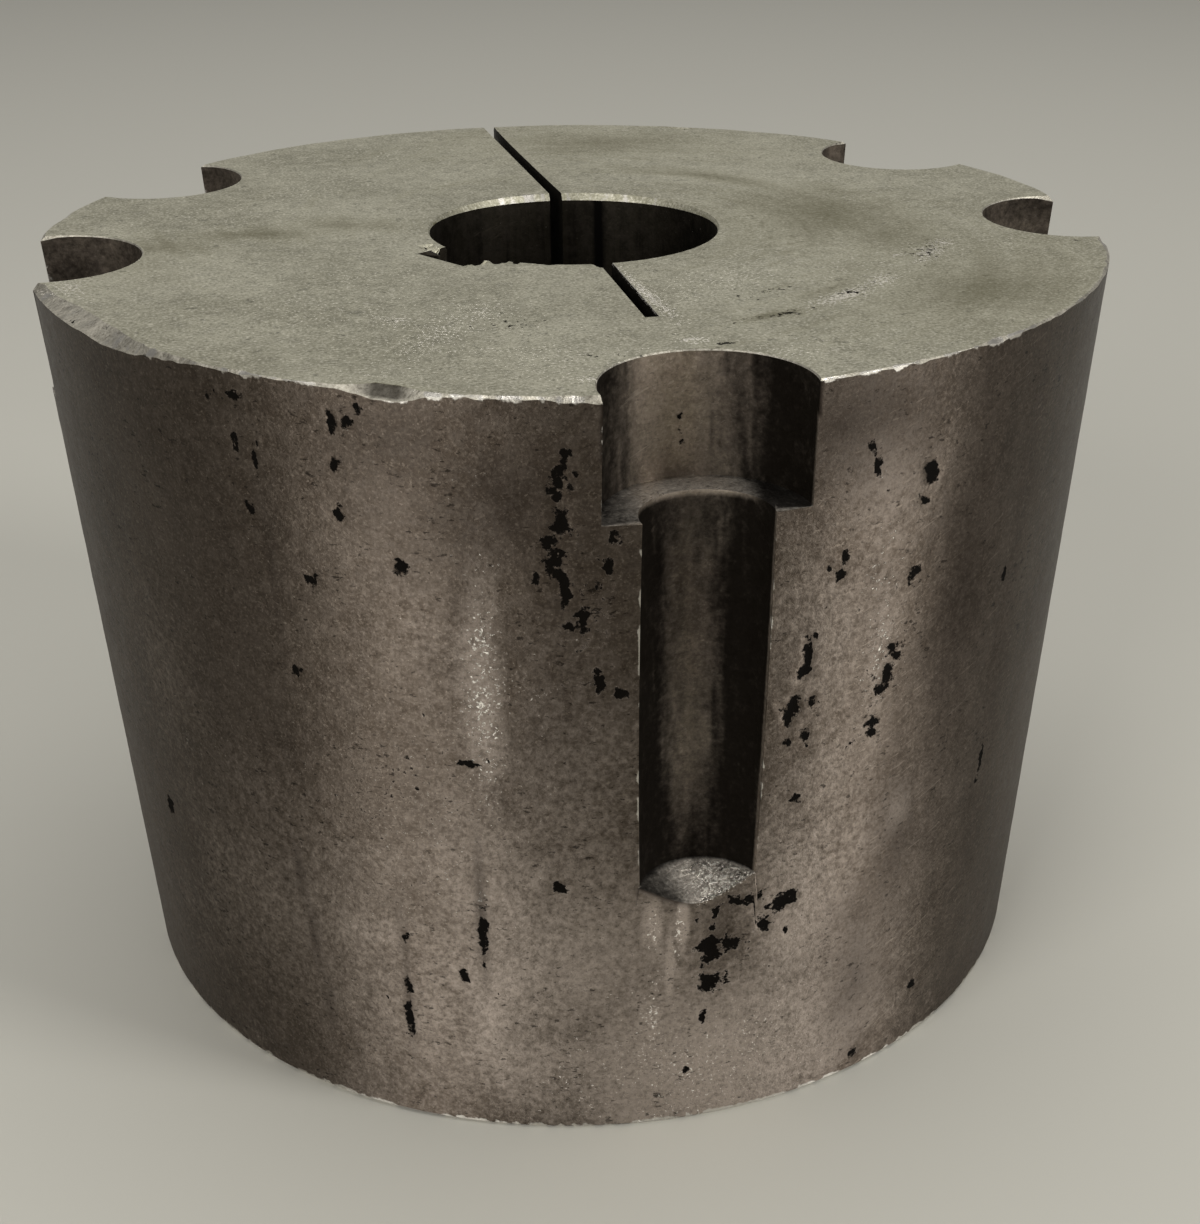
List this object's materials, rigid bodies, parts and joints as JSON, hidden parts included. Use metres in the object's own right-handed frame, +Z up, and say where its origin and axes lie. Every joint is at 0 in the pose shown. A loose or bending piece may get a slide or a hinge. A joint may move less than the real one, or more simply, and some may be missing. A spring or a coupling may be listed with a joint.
{
  "type": "taper bush",
  "caption": "Split taper bush of cast iron with a keyed bore and half-round counterbored screw holes, which locks a pulley or sprocket hub on a shaft.",
  "frame": {"origin": "on the bore axis in the small end face, on which the bush stands", "axes": "+Z up the bore axis towards the large end; the front screw hole faces -Y and the split faces +Y"},
  "size_m": [0.1261, 0.1261, 0.0889],
  "materials": {
    "cast_iron": "machined, worn and pitted"
  },
  "bodies": {
    "root": {"taper_bush": "cast_iron"}
  },
  "joints": []
}
